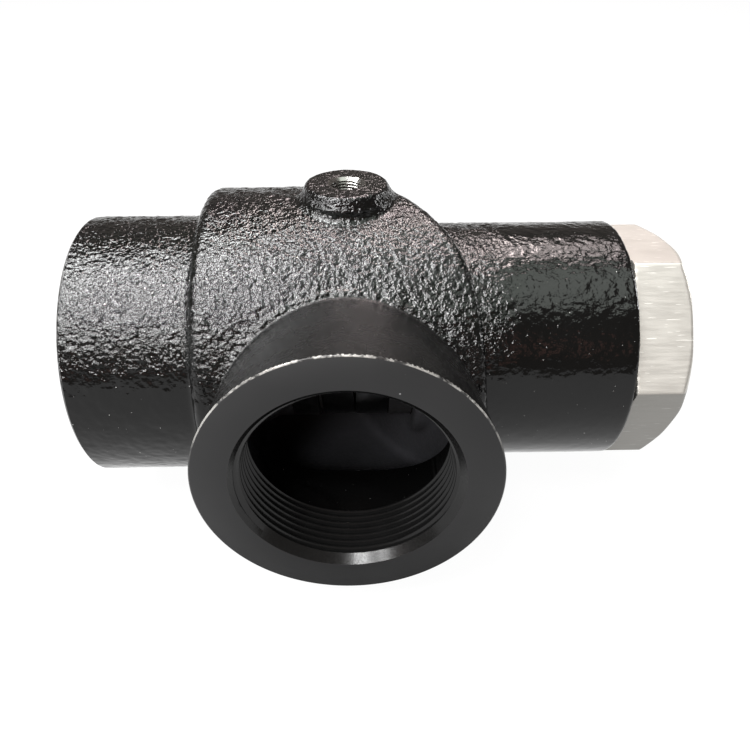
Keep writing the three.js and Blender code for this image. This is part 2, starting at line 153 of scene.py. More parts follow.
def casting(x, y, z):
    """The outside of the body: a drum with the run's two tubes, the outlet and the gauge boss welded on."""
    run = np.hypot(y, z)
    drum = bar(x, run, DRUM_LEFT, DRUM_RIGHT + 30, DRUM_R, DRUM_LEFT_ROUND)
    drum = trim(drum, right_wall(x, y), DRUM_EDGE)
    inlet = bar(x, run, INLET_X - 3, 0, INLET_R)
    cap_port = bar(x, run, -25, CAP_PORT_X, CAP_PORT_R, 1.3)
    outlet = np.maximum(outlet_side(x, y, z), np.maximum(-y - OUTLET_Y - 2, y))
    flare = 1.7 * np.clip((BOSS_Z - z) / 3.4, 0, 1) ** 1.3
    boss = bar(z, np.hypot(x, y) - flare, 40, BOSS_Z + 0.1, BOSS_R, 0.8)
    body = weld(drum, inlet, 3.0)
    body = weld(body, cap_port, 2.0)
    body = weld(body, outlet, 0.9)
    return weld(body, boss, 1.8)


def cavity(x, y, z):
    """The cast chamber, less the nozzle and the guide sleeve that stand in it."""
    run = np.hypot(y, z)
    hollow = bar(x, run, -CHAMBER_X, CHAMBER_X + 30, DRUM_R - WALL, 4.0)
    hollow = trim(hollow, np.maximum(right_wall(x, y, WALL), x - CHAMBER_X), 3.0)
    flare = NOZZLE_R + 0.5 * np.maximum(0, -24 - x)
    nozzle = np.maximum(run - flare, x - NOZZLE_END)
    sleeve = bar(x, run, SLEEVE_START, CHAMBER_X + 20, SLEEVE_R, 1.5)
    return trim(hollow, -np.minimum(nozzle, sleeve), 1.5)


def hexagon_head(x, y, z):
    """The cap's hexagon with its turned chamfer, all edges slightly broken."""
    run = np.hypot(y, z)
    flats = -np.ones_like(run) * 1e3
    for side in range(6):
        angle = CAP_TURN + side * math.pi / 3
        flats = np.maximum(flats, -math.cos(angle) * y + math.sin(angle) * z - CAP_FLATS / 2)
    slope = (CAP_FLATS / 2 / math.cos(math.pi / 6) - CAP_CHAMFER_R) / (CAP_END - CAP_CHAMFER_START)
    cone = (run - CAP_CHAMFER_R - slope * (CAP_END - x)) / math.hypot(1, slope)
    ends = np.abs(x - (CAP_HEAD + CAP_END) / 2) - (CAP_END - CAP_HEAD) / 2
    return trim(trim(flats, cone, 0.5), ends, 0.35)


def surface_of(distance, low, high, voxel):
    """Points, in millimetres, and faces of the surface where a distance function is 0."""
    axes = [np.arange(a, b + voxel, voxel) for a, b in zip(low, high)]
    x, y, z = np.meshgrid(*axes, indexing="ij", sparse=True)
    band = 3 * voxel
    values = np.clip(distance(x, y, z), -band, band).astype(np.float32)
    grid = openvdb.FloatGrid(band)
    grid.copyFromArray(values)
    points, _, quads = grid.convertToPolygons(0.0, 0.0)
    points = points.astype(float) * voxel + np.array(low)
    for _ in range(2):
        points -= normals_of(distance, points) * distance(*points.T)[:, None]
    return points, quads.astype(int)


def normals_of(distance, points):
    """Outward directions at points on a distance function's surface."""
    step = 0.05
    slopes = [
        distance(*(points + offset).T) - distance(*(points - offset).T)
        for offset in np.eye(3) * step
    ]
    normals = np.stack(slopes, 1)
    return normals / np.maximum(np.linalg.norm(normals, axis=1), 1e-9)[:, None]


# ------------------------------------------------------------------ noise for geometry

def lattice_noise(points, scale, seed):
    """Smooth random values, about -1 to 1, with lumps of the given size."""
    p = points / scale
    cell = np.floor(p).astype(np.int64)
    f = p - cell
    f = f * f * f * (f * (f * 6 - 15) + 10)
    total = np.zeros(len(points))
    for corner in range(8):
        bits = np.array([corner & 1, corner >> 1 & 1, corner >> 2 & 1])
        c = cell + bits
        mixed = c[:, 0] * 374761393 + c[:, 1] * 668265263 + c[:, 2] * 2147483647 + seed * 144269504
        mixed = (mixed ^ (mixed >> 13)) * 1274126177
        value = ((mixed ^ (mixed >> 16)) & 0xFFFF) / 32767.5 - 1
        total += value * np.prod(np.where(bits, f, 1 - f), axis=1)
    return total


def smooth_step(value, low, high):
    t = np.clip((value - low) / (high - low), 0, 1)
    return t * t * (3 - 2 * t)


def pebbled(points, normals):
    """Moves the casting's points as sand and thick paint leave them."""
    x, y, z = points.T
    outside_outlet = outlet_side(x, y, z)
    rough = 0.08 + 0.92 * smooth_step(outside_outlet, 0.3, 1.2)
    rough *= smooth_step(np.hypot(x, y) - BOSS_R, -1.0, 0.5) + (z < 40)
    rough *= 0.25 + 0.75 * smooth_step(np.abs(x + 45.5), 1.0, 3.0)
    rough *= 1 - 0.65 * smooth_step(x, 42, 50)
    rough *= 0.2 + 0.8 * smooth_step(z, 4, 22)
    rough = np.clip(rough, 0, 1)
    lumps = lattice_noise(points, 1.6, 1) * 0.6 + lattice_noise(points, 1.1, 2) * 0.4
    waves = lattice_noise(points, 4.5, 3) * WAVE_HEIGHT + lattice_noise(points, 14.0, 4) * WAVE_HEIGHT
    height = lumps * LUMP_HEIGHT * rough + waves * (0.2 + 0.8 * rough)
    lip = np.exp(-((outside_outlet - 1.2) / 0.6) ** 2) * (y < -20)
    height += LIP_HEIGHT * lip * (1 + 0.8 * lumps)
    moved = points + normals * (height - SURFACE_SET_BACK)[:, None]
    return np.clip(moved, [-200, -200, -DRUM_R], [200, DRUM_R, BOSS_Z])


# ------------------------------------------------------------------ meshes

def new_piece(name, points, faces):
    mesh = bpy.data.meshes.new(name)
    mesh.from_pydata(to_row(points), [], faces if isinstance(faces, list) else faces.tolist())
    mesh.validate()
    piece = bpy.data.objects.new(name, mesh)
    bpy.context.scene.collection.objects.link(piece)
    return piece


def lathe(profile, axis, steps=192):
    """Points and faces of a solid turned from (along, radius) corners that start and end on the axis."""
    rim = profile[1:-1]
    angle = np.linspace(0, 2 * math.pi, steps, endpoint=False)
    rings = [np.stack([np.full(steps, a), r * np.cos(angle), r * np.sin(angle)], 1) for a, r in rim]
    points = np.concatenate([[[profile[0][0], 0, 0]], *rings, [[profile[-1][0], 0, 0]]])
    last = len(points) - 1
    faces = []
    for i in range(steps):
        j = (i + 1) % steps
        faces.append([0, 1 + j, 1 + i])
        for k in range(len(rim) - 1):
            a, b = 1 + k * steps, 1 + (k + 1) * steps
            faces.append([a + i, a + j, b + j, b + i])
        a = 1 + (len(rim) - 1) * steps
        faces.append([a + i, a + j, last])
    return turn_to(points, axis), faces


def turn_to(points, axis):
    """Points made along +X, turned to lie along the outlet (-Y) or the boss (+Z)."""
    x, y, z = np.asarray(points, float).T
    if axis == "outlet":
        return np.stack([y, -x, z], 1)
    if axis == "boss":
        return np.stack([-z, y, x], 1)
    return np.stack([x, y, z], 1)


def thread_form(phase):
    """0 at the crest that stands into the hole, 1 at the bottom of the groove, over one pitch."""
    ramp = np.abs(2 * (phase % 1.0) - 1)
    return smooth_step(ramp, 0.14, 0.86) * 0.5 + np.clip((ramp - 0.14) / 0.72, 0, 1) * 0.5


def threaded_hole(start, end, minor, major, pitch, axis, steps=160, rows_per_pitch=10):
    """A closed cutter whose wall is a real helical thread; its ragged ends lie in the air."""
    rows = int(math.ceil((end - start) / pitch * rows_per_pitch)) + rows_per_pitch
    points = []
    for row in range(rows + 1):
        phase = row / rows_per_pitch
        radius = minor + (major - minor) * float(thread_form(np.array(phase)))
        for i in range(steps):
            angle = 2 * math.pi * i / steps
            along = start + pitch * (phase - 1 + i / steps)
            points.append((along, radius * math.cos(angle), radius * math.sin(angle)))
    faces = []
    for row in range(rows):
        for i in range(steps - 1):
            a = row * steps + i
            faces.append([a, a + 1, a + 1 + steps, a + steps])
        if row + rows_per_pitch + 1 <= rows:
            a, b = row * steps + steps - 1, (row + rows_per_pitch) * steps
            faces.append([a, b, b + steps, a + steps])
    first, last = len(points), len(points) + 1
    points += [(start - 1.5 * pitch, 0, 0), (points[-1][0] + 1.5 * pitch, 0, 0)]
    low_loop = list(range(steps)) + [row * steps for row in range(rows_per_pitch, 0, -1)]
    top = rows * steps
    high_loop = list(range(top, top + steps))
    high_loop = [r * steps + steps - 1 for r in range(rows - rows_per_pitch, rows)] + high_loop[::-1]
    for a, b in zip(low_loop, low_loop[1:] + low_loop[:1]):
        faces.append([a, first, b])
    for a, b in zip(high_loop, high_loop[1:] + high_loop[:1]):
        faces.append([a, b, last][::-1])
    return turn_to(points, axis), faces


def combine(piece, cutter, operation):
    """One boolean with a closed cutter, applied at once; the cutter is then removed."""
    step = piece.modifiers.new("cut", "BOOLEAN")
    step.object = cutter
    step.operation = operation
    step.solver = "MANIFOLD"
    bpy.context.view_layer.update()
    result = bpy.data.meshes.new_from_object(piece.evaluated_get(bpy.context.evaluated_depsgraph_get()))
    piece.modifiers.clear()
    old = piece.data
    piece.data = result
    result.name = old.name
    bpy.data.meshes.remove(old)
    bpy.data.objects.remove(cutter)


def cut(piece, shape, operation="DIFFERENCE"):
    combine(piece, new_piece("cutter", *shape), operation)


def smooth(piece, material, sharp=35):
    """One material all over, shaded smooth except across edges sharper than the given degrees."""
    mesh = piece.data
    mesh.materials.clear()
    mesh.materials.append(material)
    mesh.polygons.foreach_set("material_index", np.zeros(len(mesh.polygons), np.int32))
    mesh.polygons.foreach_set("use_smooth", np.ones(len(mesh.polygons), bool))
    mesh.set_sharp_from_angle(angle=math.radians(sharp))


# ------------------------------------------------------------------ materials

class Look:
    """A procedural material. Its textures read object coordinates, which are the row frame in metres."""

    def __init__(self, name):
        self.material = bpy.data.materials.new(name)
        self.material.use_nodes = True
        self.tree = self.material.node_tree
        self.shader = self.tree.nodes["Principled BSDF"]
        self.place = self.node("ShaderNodeTexCoord").outputs["Object"]

    def node(self, kind, inputs=None, **settings):
        made = self.tree.nodes.new(kind)
        for key, value in settings.items():
            setattr(made, key, value)
        for key, value in (inputs or {}).items():
            self.feed(made.inputs[key], value)
        return made

    def feed(self, socket, value):
        if isinstance(value, bpy.types.NodeSocket):
            self.tree.links.new(value, socket)
        elif isinstance(value, tuple) and len(value) == 3 and socket.type == "RGBA":
            socket.default_value = (*value, 1)
        else:
            socket.default_value = value

    def noise(self, scale, detail=2.0, roughness=0.5, distortion=0.0, place=None):
        inputs = {
            "Vector": place or self.place,
            "Scale": scale,
            "Detail": detail,
            "Roughness": roughness,
            "Distortion": distortion,
        }
        return self.node("ShaderNodeTexNoise", inputs).outputs["Fac"]

    def stretched(self, x, y, z):
        inputs = {0: self.place, 1: (x, y, z)}
        return self.node("ShaderNodeVectorMath", inputs, operation="MULTIPLY").outputs[0]

    def between(self, value, low, high, to_low=0.0, to_high=1.0):
        inputs = {"Value": value, "From Min": low, "From Max": high, "To Min": to_low, "To Max": to_high}
        return self.node("ShaderNodeMapRange", inputs, interpolation_type="SMOOTHSTEP").outputs["Result"]

    def math(self, operation, a, b=0.0):
        return self.node("ShaderNodeMath", {0: a, 1: b}, operation=operation).outputs[0]

    def blend(self, factor, a, b):
        mix = self.node("ShaderNodeMix", data_type="RGBA")
        self.feed(mix.inputs["Factor"], factor)
        self.feed(mix.inputs[6], a)
        self.feed(mix.inputs[7], b)
        return mix.outputs[2]

    def radius_about(self, axis):
        """Distance from the run, outlet or boss axis."""
        centred = self.node(
            "ShaderNodeVectorMath", {0: self.place, 1: tuple(DATUM)}, operation="SUBTRACT"
        ).outputs[0]
        keep = {"run": (0, 1, 1), "outlet": (1, 0, 1), "boss": (1, 1, 0)}[axis]
        flat = self.node("ShaderNodeVectorMath", {0: centred, 1: keep}, operation="MULTIPLY").outputs[0]
        return self.node("ShaderNodeVectorMath", {0: flat}, operation="LENGTH").outputs["Value"]

    def along(self, axis):
        """Metres from the datum along one axis."""
        value = self.node("ShaderNodeSeparateXYZ", {0: self.place}).outputs[axis]
        return self.math("SUBTRACT", value, DATUM["XYZ".index(axis)])

    def lines(self, value, scale, detail=2.0):
        """Noise that changes only along one value, such as turning marks."""
        made = self.node("ShaderNodeTexNoise", {"Scale": scale, "Detail": detail}, noise_dimensions="1D")
        self.feed(made.inputs["W"], value)
        return made.outputs["Fac"]

    def bump(self, *layers):
        """Stacks of (height, strength, distance in millimetres)."""
        normal = None
        for height, strength, distance in layers:
            inputs = {"Height": height, "Strength": strength, "Distance": distance / 1000}
            if normal:
                inputs["Normal"] = normal
            normal = self.node("ShaderNodeBump", inputs).outputs["Normal"]
        return normal

    def finish(self, **values):
        for key, value in values.items():
            self.feed(self.shader.inputs[key.replace("_", " ")], value)
        return self.material


def cast_paint():
    """Glossy black over sand-cast grain, which is calmer on the cap's side and low down."""
    look = Look("black_cast_paint")
    grain = look.noise(800, 2, 0.5)
    patches = look.noise(70, 3)
    # painted highlights: rare light grey specks mixed into the base colour stand in for glints on the black
    # paint
    specks = look.between(look.noise(1900, 0), 0.87, 0.89)
    colour = look.blend(patches, (0.0007, 0.0007, 0.0007), (0.0018, 0.0018, 0.0018))
    colour = look.blend(specks, colour, (0.30, 0.30, 0.29))
    rough = look.between(look.noise(600, 2), 0.3, 0.7, 0.05, 0.12)
    x, z = look.along("X"), look.along("Z")
    calm_right = look.between(x, 0.042, 0.050, 1.0, 0.36)
    calm_low = look.between(z, 0.005, 0.022, 0.06, 1.0)
    calm = look.math("MULTIPLY", calm_right, calm_low)
    normal = look.bump((grain, calm, 0.55))
    return look.finish(Base_Color=colour, Roughness=rough, Normal=normal, Specular_IOR_Level=0.31)


def machined_paint(name, axis):
    """Paint over a turned face: satin, with faint turning marks, and with painted shade towards the bottom,
    where its reflection is turned down.
    """
    look = Look(name)
    marks = look.lines(look.radius_about(axis), 5200, 3)
    grain = look.noise(3000, 2)
    patches = look.noise(45, 3)
    colour = look.blend(patches, (0.006, 0.006, 0.0063), (0.010, 0.010, 0.0103))
    specks = look.between(look.noise(900, 0), 0.89, 0.91)
    colour = look.blend(specks, colour, (0.2, 0.2, 0.2))
    rough = look.between(patches, 0.3, 0.7, 0.42, 0.55)
    normal = look.bump((marks, 0.12, 0.05), (grain, 0.10, 0.05))
    # painted shade: the specular level falls towards the bottom, so the face reflects less light low down
    sheen = look.between(look.along("Z"), -0.042, 0.0, 0.08, 0.28)
    return look.finish(Base_Color=colour, Roughness=rough, Normal=normal, Specular_IOR_Level=sheen)


def satin_paint():
    """The outlet's turned outside, where thin paint shows the tool marks."""
    look = Look("satin_outlet_paint")
    grain = look.noise(1300, 3, 0.6)
    marks = look.lines(look.along("Y"), 2600, 2)
    patches = look.noise(110, 3)
    colour = look.blend(patches, (0.002, 0.002, 0.002), (0.005, 0.005, 0.005))
    rough = look.between(patches, 0.3, 0.7, 0.20, 0.32)
    return look.finish(
        Base_Color=colour, Roughness=rough, Normal=look.bump((grain, 1.0, 0.22), (marks, 0.4, 0.08)),
        Specular_IOR_Level=0.16,
    )


def worn_edge():
    """The outlet's rim chamfer, where the paint has chipped to bright metal in thin spots."""
    look = Look("worn_edge")
    worn = look.between(look.along("Z"), 0.008, 0.030)
    chips = look.math("MULTIPLY", worn, look.between(look.noise(190, 5, 0.7), 0.40, 0.58))
    colour = look.blend(chips, (0.012, 0.012, 0.012), (0.40, 0.39, 0.37))
    rough = look.between(look.noise(900, 2), 0.3, 0.7, 0.25, 0.4)
    return look.finish(
        Base_Color=colour, Roughness=rough, Metallic=look.math("MULTIPLY", chips, 0.8),
        Normal=look.bump((chips, 0.4, 0.05)),
    )


def thread_metal(name, dark, light, metallic, low, high, sheen=0.5):
    look = Look(name)
    grain = look.noise(2200, 3)
    patches = look.noise(160, 3)
    colour = look.blend(patches, dark, light)
    rough = look.between(grain, 0.3, 0.7, low, high)
    return look.finish(
        Base_Color=colour, Roughness=rough, Metallic=metallic, Normal=look.bump((grain, 0.2, 0.04)),
        Specular_IOR_Level=sheen,
    )


def cap_aluminium():
    """Bare aluminium with lengthwise scratches; its lower facets are darkened with painted shade."""
    look = Look("cap_aluminium")
    long_lines = look.noise(1.0, 4, 0.6, place=look.stretched(90, 900, 900))
    scratches = look.between(look.noise(1.0, 1, place=look.stretched(170, 2600, 2600)), 0.70, 0.74)
    cloud = look.noise(55, 3)
    colour = look.blend(cloud, (0.50, 0.485, 0.45), (0.58, 0.565, 0.53))
    colour = look.blend(scratches, colour, (0.86, 0.85, 0.81))
    # painted shade: below this height the colour is scaled down, so the lower facets look shadowed
    painted_low_shade = look.between(look.along("Z"), 0.0042, 0.0048, 0.46, 1.0)
    colour = look.node("ShaderNodeVectorMath", {0: colour, "Scale": painted_low_shade}, operation="SCALE").outputs[0]
    rough = look.between(long_lines, 0.3, 0.7, 0.43, 0.49)
    normal = look.bump((long_lines, 0.05, 0.03), (scratches, 0.3, 0.03))
    return look.finish(Base_Color=colour, Roughness=rough, Metallic=1.0, Normal=normal)


def turned_metal(name, dark, light, low, high):
    """Turned pieces about the run axis."""
    look = Look(name)
    marks = look.lines(look.radius_about("run"), 6000, 2)
    along = look.node("ShaderNodeSeparateXYZ", {0: look.place}).outputs["X"]
    rings = look.lines(along, 5000, 2)
    colour = look.blend(look.noise(90, 3), dark, light)
    rough = look.between(look.noise(500, 2), 0.3, 0.7, low, high)
    normal = look.bump((marks, 0.10, 0.04), (rings, 0.10, 0.04))
    return look.finish(Base_Color=colour, Roughness=rough, Metallic=1.0, Normal=normal)


def moulded(name, dark, light, low, high):
    look = Look(name)
    colour = look.blend(look.noise(300, 3), dark, light)
    rough = look.between(look.noise(800, 2), 0.3, 0.7, low, high)
    normal = look.bump((look.noise(2500, 2), 0.15, 0.05))
    return look.finish(Base_Color=colour, Roughness=rough, Normal=normal)


CAST = cast_paint()
SATIN = satin_paint()
RING_FACE = machined_paint("painted_ring_face", "outlet")
RUN_FACE = machined_paint("painted_run_face", "run")
EDGE = worn_edge()
DARK_THREAD = thread_metal(
    "painted_thread", (0.002, 0.002, 0.002), (0.004, 0.004, 0.004), 0.0, 0.16, 0.26, sheen=0.3
)
BRIGHT_THREAD = thread_metal("bare_thread", (0.16, 0.155, 0.15), (0.30, 0.295, 0.28), 1.0, 0.16, 0.3)
# painted light: the chamber's paint is many times lighter than the outside black, to stand in for light
# bounced into the hollow
CHAMBER_PAINTED_LIGHT = moulded("chamber_paint_with_painted_light", (0.025, 0.025, 0.028), (0.04, 0.04, 0.044), 0.4, 0.55)
ALUMINIUM = cap_aluminium()
STEEL = turned_metal("turned_steel", (0.10, 0.10, 0.105), (0.17, 0.17, 0.175), 0.3, 0.45)
WIRE = turned_metal("spring_wire", (0.12, 0.12, 0.125), (0.2, 0.2, 0.2), 0.28, 0.4)
ANODISED = turned_metal("dark_anodised", (0.05, 0.05, 0.052), (0.08, 0.08, 0.083), 0.3, 0.42)
RUBBER = moulded("nitrile_rubber", (0.008, 0.008, 0.008), (0.016, 0.016, 0.016), 0.55, 0.75)
BEARING = moulded("bearing_plastic", (0.012, 0.012, 0.013), (0.022, 0.022, 0.023), 0.5, 0.65)


# ------------------------------------------------------------------ valve body

def machining_tools():
    """Closed cutters, each a list of shapes that are joined before they cut."""
    lead_in = G2_LEAD_IN - G2_MINOR
    inlet = [
        lathe([
            (-95, 0), (-95, AIR_R), (INLET_X + 1, AIR_R), (INLET_X + 1, INLET_R + 0.2),
            (INLET_X, INLET_R - 0.8), (INLET_X, 0),
        ], "run"),
        lathe([
            (INLET_X - 2, 0), (INLET_X - 2, G2_LEAD_IN + 2), (INLET_X + lead_in, G2_MINOR),
            (INLET_X + lead_in, 0),
        ], "run"),
        threaded_hole(INLET_X - 1, INLET_THREAD_END + 1, G2_MINOR, G2_MAJOR, G2_PITCH, "run"),
        lathe([
            (INLET_THREAD_END - 0.5, 0), (INLET_THREAD_END - 0.5, G2_MINOR), (-55.5, THREAD_RELIEF_R),
            (-53, THREAD_RELIEF_R), (-51.5, INLET_THROAT_R), (-46, INLET_THROAT_R), (-38, SEAT_THROAT_R),
            (SEAT_BORE_START, SEAT_THROAT_R), (SEAT_BORE_START, SEAT_BORE_R), (SEAT_BORE_END, SEAT_BORE_R),
            (SEAT_BORE_END, 0),
        ], "run"),
    ]
    outlet = [
        lathe([
            (OUTLET_Y, 0), (OUTLET_Y, OUTLET_R - 0.5), (OUTLET_Y - 0.5, OUTLET_R + 0.15),
            (OUTLET_Y - 0.5, AIR_R), (90, AIR_R), (90, 0),
        ], "outlet"),
        lathe([
            (OUTLET_Y - lead_in, 0), (OUTLET_Y - lead_in, G2_MINOR), (OUTLET_Y + 2, G2_LEAD_IN + 2),
            (OUTLET_Y + 2, 0),
        ], "outlet"),
        threaded_hole(OUTLET_THREAD_END - 0.5, OUTLET_Y + 1, G2_MINOR, G2_MAJOR, G2_PITCH, "outlet"),
        lathe([
            (30, 0), (30, OUTLET_THROAT_R), (OUTLET_THREAD_END - 2.2, OUTLET_THROAT_R),
            (OUTLET_THREAD_END, G2_MINOR), (OUTLET_THREAD_END, 0),
        ], "outlet"),
    ]
    boss = [
        lathe([
            (BOSS_Z - 1, 0), (BOSS_Z - 1, G1_8_MINOR), (BOSS_Z + 1, G1_8_LEAD_IN + 1), (BOSS_Z + 1, 0),
        ], "boss", 96),
        threaded_hole(42, BOSS_Z + 0.5, G1_8_MINOR, G1_8_MAJOR, G1_8_PITCH, "boss", 96, 8),
    ]
    cap_port = [
        lathe([
            (CAP_PORT_X, 0), (CAP_PORT_X, CAP_PORT_R - 1.3), (CAP_PORT_X - 0.35, CAP_PORT_R - 0.5),
            (CAP_PORT_X - 1.2, CAP_PORT_R + 0.05), (CAP_PORT_X - 1.2, AIR_R), (120, AIR_R), (120, 0),
        ], "run"),
        lathe([
            (GUIDE_START, 0), (GUIDE_START, GUIDE_R), (GUIDE_END, GUIDE_R), (CAP_BORE_START, CAP_BORE_R),
            (86, CAP_BORE_R), (86, 0),
        ], "run"),
    ]
    chamber = [surface_of(cavity, (-36, -46, -46), (36, 46, 46), CHAMBER_VOXEL)]
    return [chamber, inlet, outlet, boss, cap_port]


def paint_body(body):
    """Gives each face its material by where it lies."""
    mesh = body.data
    count = len(mesh.polygons)
    centre = np.empty(count * 3)
    normal = np.empty(count * 3)
    mesh.polygons.foreach_get("center", centre)
    mesh.polygons.foreach_get("normal", normal)
    x, y, z = ((centre.reshape(-1, 3) - np.array(DATUM)) * 1000).T
    nx, ny, _ = normal.reshape(-1, 3).T
    run, out, up = np.hypot(y, z), np.hypot(x, z), np.hypot(x, y)
    near = 0.02
    skin = casting(x, y, z)
    inlet_face = (np.abs(x - INLET_X) < near) & (nx < -0.9)
    cap_port_face = (np.abs(x - CAP_PORT_X) < near) & (nx > 0.9)
    slots = {
        SATIN: (outlet_side(x, y, z) < 0.35) & (y < -28) & (out > G2_LEAD_IN + 2) & (skin > -0.6),
        CHAMBER_PAINTED_LIGHT: (run < DRUM_R - WALL + 0.3) & (out < 90) & (skin < -1.2),
        DARK_THREAD: ((out < G2_LEAD_IN + 0.5) & (y < -44)) | ((run < G2_LEAD_IN + 0.5) & (x < -53)),
        RING_FACE: (np.abs(y + OUTLET_Y) < near) & (ny < -0.9),
        RUN_FACE: inlet_face | cap_port_face,
        BRIGHT_THREAD: (up < G1_8_LEAD_IN + 0.3) & (z > 40) & (skin < -0.02),
        EDGE: (y < -OUTLET_Y + 0.52) & (out > OUTLET_R - 0.6) & (ny > -0.9),
    }
    index = np.zeros(count, np.int32)
    mesh.materials.clear()
    mesh.materials.append(CAST)
    for number, (material, chosen) in enumerate(slots.items(), 1):
        mesh.materials.append(material)
        index[chosen] = number
    mesh.polygons.foreach_set("material_index", index)
    mesh.polygons.foreach_set("use_smooth", np.ones(count, bool))
    mesh.set_sharp_from_angle(angle=math.radians(42))
    mesh.update()


def valve_body():
    points, faces = surface_of(casting, (-86, -73, -52.5), (86.5, 52.5, 58), VOXEL)
    points = pebbled(points, normals_of(casting, points))
    body = new_piece("valve_casting", points, faces)
    for shapes in machining_tools():
        tool = new_piece("tool", *shapes[0])
        for shape in shapes[1:]:
            cut(tool, shape, "UNION")
        combine(body, tool, "DIFFERENCE")
    paint_body(body)
    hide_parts("valve_body")
    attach(body, "housing")


def spring_cap():
    """The hexagon with its plug, O-ring groove, spring pocket and vent hole."""
    low, high = (CAP_HEAD - 1, -40, -40), (CAP_END + 1, 40, 40)
    cap = new_piece("hexagon_cap", *surface_of(hexagon_head, low, high, CAP_VOXEL))
    plug = [
        (CAP_PLUG_X, 0), (CAP_PLUG_X, CAP_PLUG_R - 0.8), (CAP_PLUG_X + 0.8, CAP_PLUG_R),
        (CAP_GROOVE_START, CAP_PLUG_R), (CAP_GROOVE_START, CAP_GROOVE_R), (CAP_GROOVE_END, CAP_GROOVE_R),
        (CAP_GROOVE_END, CAP_PLUG_R), (CAP_HEAD + 2, CAP_PLUG_R), (CAP_HEAD + 2, 0),
    ]
    pocket = [
        (CAP_PLUG_X - 1, 0), (CAP_PLUG_X - 1, POCKET_R + 1), (CAP_PLUG_X + 1, POCKET_R),
        (POCKET_X, POCKET_R), (POCKET_X, VENT_R), (CAP_END - 0.5, VENT_R), (CAP_END + 1, VENT_R + 1.5),
        (CAP_END + 1, 0),
    ]
    cut(cap, lathe(plug, "run"), "UNION")
    cut(cap, lathe(pocket, "run"))
    smooth(cap, ALUMINIUM)
    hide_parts("spring_cap")
    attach(cap, "housing")


# ------------------------------------------------------------------ works inside

def soften(profile, size):
    """Breaks every corner that is off the axis with a small chamfer."""
    made = []
    for i, corner in enumerate(profile):
        here = np.array(corner, float)
        if here[1] == 0:
            made.append(tuple(here))
            continue
        for other in (profile[i - 1], profile[(i + 1) % len(profile)]):
            step = np.array(other, float) - here
            made.append(tuple(here + step * min(size / np.linalg.norm(step), 0.4)))
    return made


def hoop(profile, steps=160):
    """Points and faces of a ring turned about the run axis, from a closed loop of (along, radius)."""
    angle = np.linspace(0, 2 * math.pi, steps, endpoint=False)
    points = np.concatenate([
        np.stack([np.full(steps, a), r * np.cos(angle), r * np.sin(angle)], 1) for a, r in profile
    ])
    faces = []
    for k in range(len(profile)):
        a, b = k * steps, (k + 1) % len(profile) * steps
        faces += [[a + i, a + (i + 1) % steps, b + (i + 1) % steps, b + i] for i in range(steps)]
    return points, faces


def coil(wire_r, mean_r, start, end, turns, first, last, sides=16, steps=48):
    """Points and faces of a coil spring with a closed turn at each end, from one turn to another."""
    closed_pitch = 2.1 * wire_r
    free = end - start - 2 * wire_r - 2 * closed_pitch
    turn = np.linspace(first, last, round((last - first) * steps) + 1)

    def place(t):
        closed = np.minimum(t, 1) + np.maximum(t - turns - 1, 0)
        x = start + wire_r + closed * closed_pitch + np.clip(t - 1, 0, turns) * free / turns
        return np.stack([x, mean_r * np.cos(2 * math.pi * t), mean_r * np.sin(2 * math.pi * t)], 1)

    along = place(turn + 0.01) - place(turn - 0.01)
    along /= np.linalg.norm(along, axis=1)[:, None]
    outwards = place(turn) * [0, 1, 1] / mean_r
    across = np.cross(along, outwards)
    around = np.linspace(0, 2 * math.pi, sides, endpoint=False)
    rings = place(turn)[:, None] + wire_r * (
        np.cos(around)[None, :, None] * outwards[:, None] + np.sin(around)[None, :, None] * across[:, None]
    )
    faces = [list(range(sides))[::-1], list(range((len(turn) - 1) * sides, len(turn) * sides))]
    for k in range(len(turn) - 1):
        a, b = k * sides, (k + 1) * sides
        faces += [[a + i, a + (i + 1) % sides, b + (i + 1) % sides, b + i] for i in range(sides)]
    return rings.reshape(-1, 3), faces


